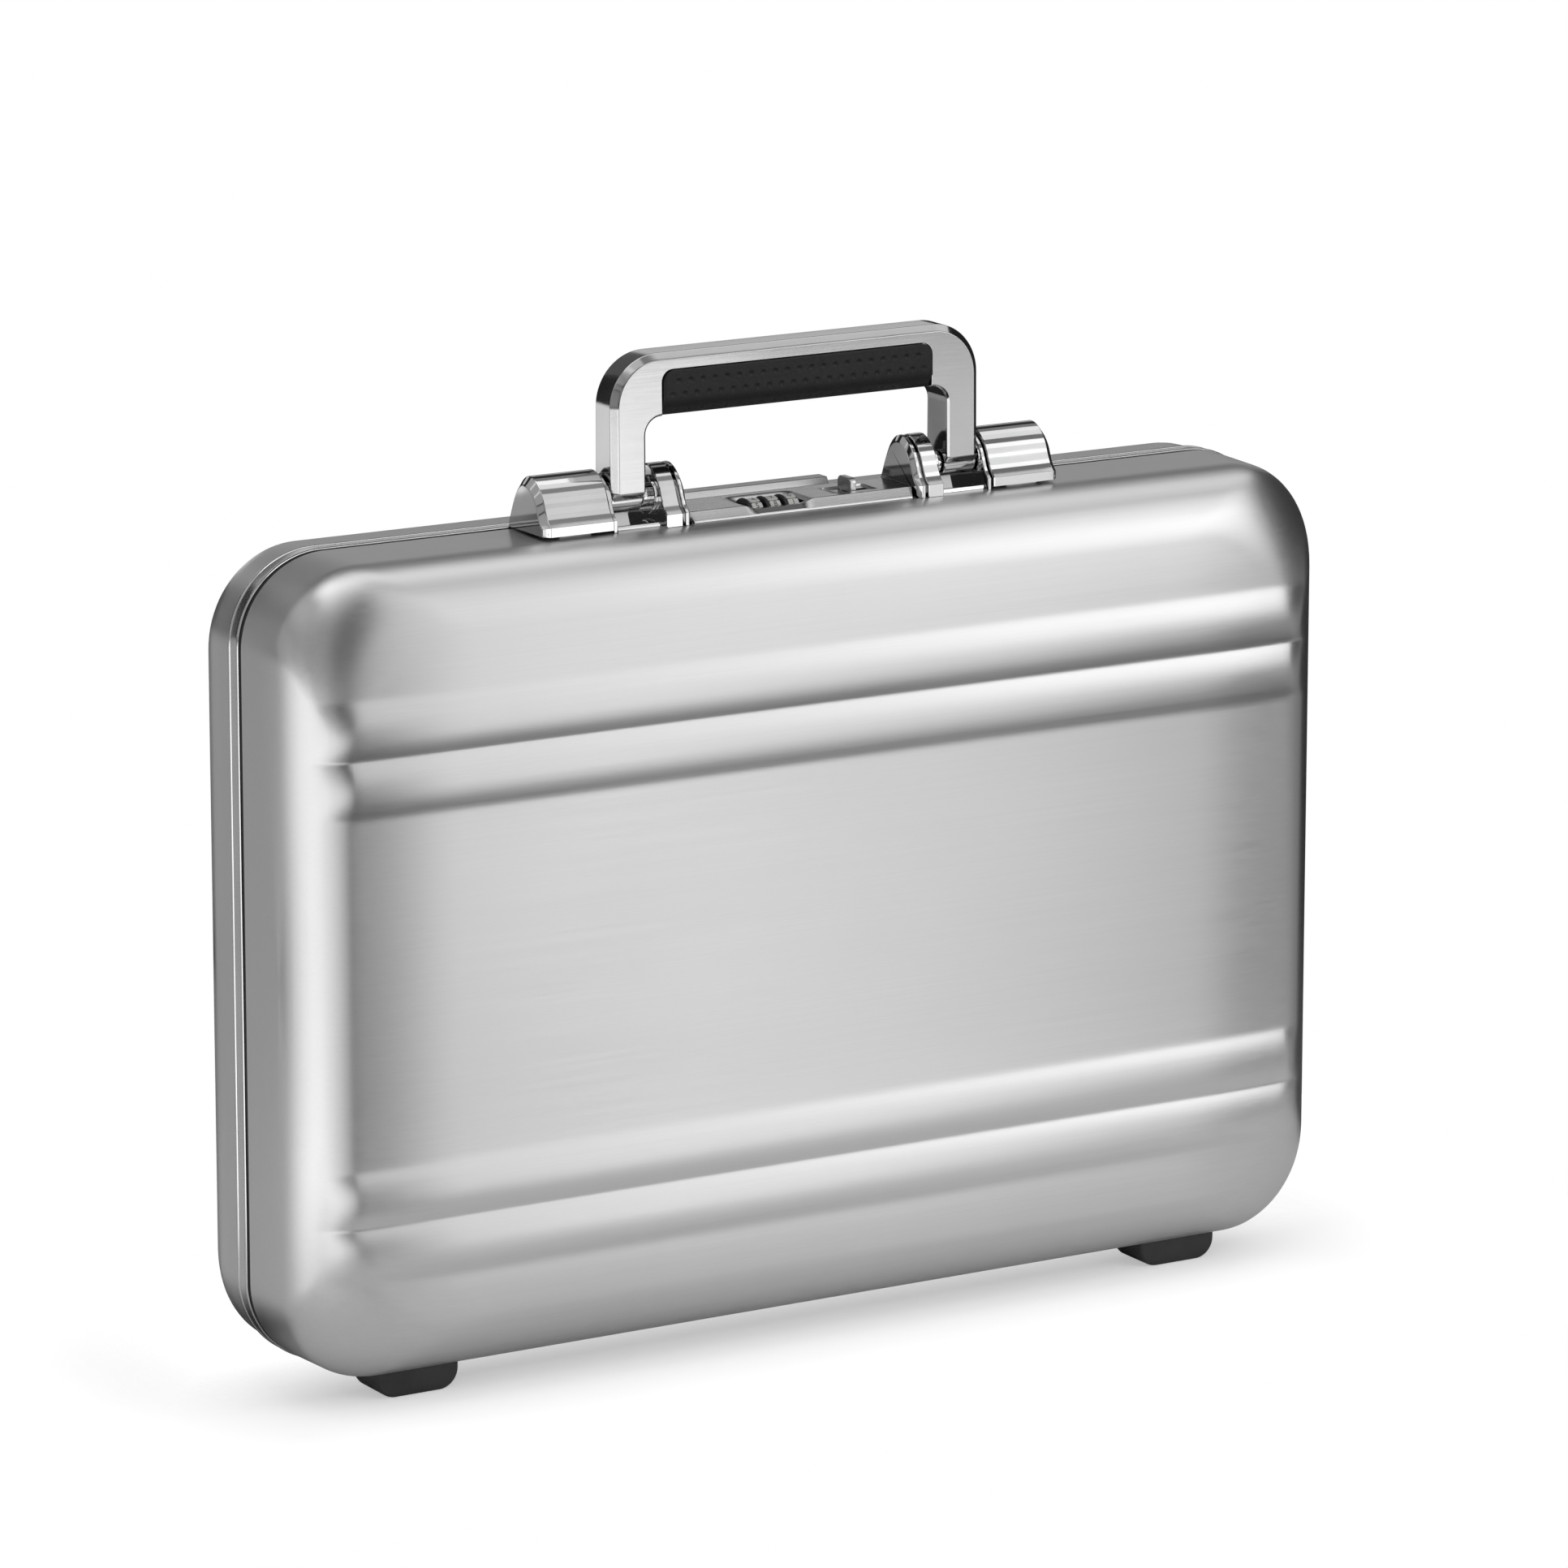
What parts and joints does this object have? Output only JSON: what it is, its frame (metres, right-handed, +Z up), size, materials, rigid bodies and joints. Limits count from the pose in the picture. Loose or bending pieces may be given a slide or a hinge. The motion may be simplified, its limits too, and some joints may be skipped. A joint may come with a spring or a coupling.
{
  "type": "attache case",
  "caption": "Hard aluminium attache case with ribbed clamshell halves, hinged lid, chrome fold-down handle, flip latches and a dial lock.",
  "frame": {"origin": "on the floor plane under the middle of the width, at the parting plane between the two shells (within 3 mm of the bounding box's bottom centre)", "axes": "+X along the width to the right seen from the handle-lock side, +Y towards the lid (back) shell, +Z up"},
  "size_m": [0.4578, 0.1012, 0.388],
  "materials": {
    "shell_aluminium": "satin, brushed along the width",
    "rim_aluminium": "satin extrusion with bright beads",
    "gasket_rubber": "matt",
    "lining_fabric": "woven lining",
    "foot_rubber": "matt moulded rubber",
    "chrome": "polished chrome plate",
    "grip_leather": "black grained leather with dimples",
    "satin_chrome": "satin plate, brushed",
    "steel": "zinc plated steel",
    "housing_plastic": "moulded",
    "dial_plastic": "light number wheels",
    "blank_plate": "dark satin"
  },
  "bodies": {
    "base": {"base_shell": "shell_aluminium", "base_frame": "rim_aluminium", "gasket": "gasket_rubber", "base_lining": "lining_fabric", "base_feet": "foot_rubber", "base_foot_screws": "steel", "handle_bracket_left": "chrome", "handle_bracket_right": "chrome", "lug_cap_left": "chrome", "lug_cap_right": "chrome", "handle_pins": "steel", "bracket_screws": "steel", "latch_mount_left": "steel", "latch_mount_right": "steel", "latch_pins": "steel", "latch_spring_left": "steel", "latch_spring_right": "steel", "lock_plate": "satin_chrome", "lock_housing": "housing_plastic", "lock_screws": "steel", "dial_axle": "steel", "slide_spring": "steel", "hinge_leaves_base": "steel", "hinge_pins": "steel", "hinge_rivets_base": "steel", "stay_posts_base": "steel"},
    "lid": {"lid_shell": "shell_aluminium", "lid_frame": "rim_aluminium", "lid_lining": "lining_fabric", "lid_feet": "foot_rubber", "lid_foot_screws": "steel", "badge_plate": "blank_plate", "keeper_left": "steel", "keeper_right": "steel", "hinge_leaves_lid": "steel", "hinge_rivets_lid": "steel", "stay_posts_lid": "steel"},
    "handle": {"handle_bail": "chrome", "handle_grip": "grip_leather"},
    "latch_left": {"latch_cover_left": "chrome", "latch_hook_left": "steel"},
    "latch_right": {"latch_cover_right": "chrome", "latch_hook_right": "steel"},
    "dial_a": {"dial_1": "dial_plastic"},
    "dial_b": {"dial_2": "dial_plastic"},
    "dial_c": {"dial_3": "dial_plastic"},
    "release_slide": {"slide_button": "satin_chrome", "slide_bar": "steel"},
    "stay_lower": {"stay_arms_lower": "steel", "stay_elbow_pins": "steel"},
    "stay_upper": {"stay_arms_upper": "steel"}
  },
  "joints": [
    {"name": "lid_hinge", "type": "hinge", "parent": "base", "child": "lid", "pos_m": [0, 0, 0.0064], "axis": [-1, 0, 0], "range_deg": [0, 95]},
    {"name": "stay_lower_pivot", "type": "hinge", "parent": "base", "child": "stay_lower", "pos_m": [0.215, -0.0056, 0.06], "axis": [-1, 0, 0], "range_deg": [0, 95]},
    {"name": "stay_upper_pivot", "type": "hinge", "parent": "lid", "child": "stay_upper", "pos_m": [0.215, 0.0052, 0.06], "axis": [-1, 0, 0], "range_deg": [-95, 0]},
    {"name": "handle_pivot", "type": "hinge", "parent": "base", "child": "handle", "pos_m": [0, -0.014, 0.333], "axis": [1, 0, 0], "range_deg": [-85, 85]},
    {"name": "latch_left_pivot", "type": "hinge", "parent": "base", "child": "latch_left", "pos_m": [-0.099, -0.0263, 0.325], "axis": [1, 0, 0], "range_deg": [0, 80]},
    {"name": "latch_right_pivot", "type": "hinge", "parent": "base", "child": "latch_right", "pos_m": [0.099, -0.0263, 0.325], "axis": [1, 0, 0], "range_deg": [0, 80]},
    {"name": "dial_a_spin", "type": "hinge", "parent": "base", "child": "dial_a", "pos_m": [-0.0175, -0.0155, 0.321], "axis": [1, 0, 0], "continuous": true},
    {"name": "dial_b_spin", "type": "hinge", "parent": "base", "child": "dial_b", "pos_m": [-0.0095, -0.0155, 0.321], "axis": [1, 0, 0], "continuous": true},
    {"name": "dial_c_spin", "type": "hinge", "parent": "base", "child": "dial_c", "pos_m": [-0.0015, -0.0155, 0.321], "axis": [1, 0, 0], "continuous": true},
    {"name": "release_slide_travel", "type": "slide", "parent": "base", "child": "release_slide", "axis": [1, 0, 0], "range_m": [0, 0.007], "stiffness_N_per_m": 150, "springref_m": -0.004, "deforming": ["slide_spring"]}
  ],
  "couplings": [
    {"joint": "stay_lower_pivot", "follows": "lid_hinge", "ratio": 1},
    {"joint": "stay_upper_pivot", "follows": "lid_hinge", "ratio": -1}
  ]
}
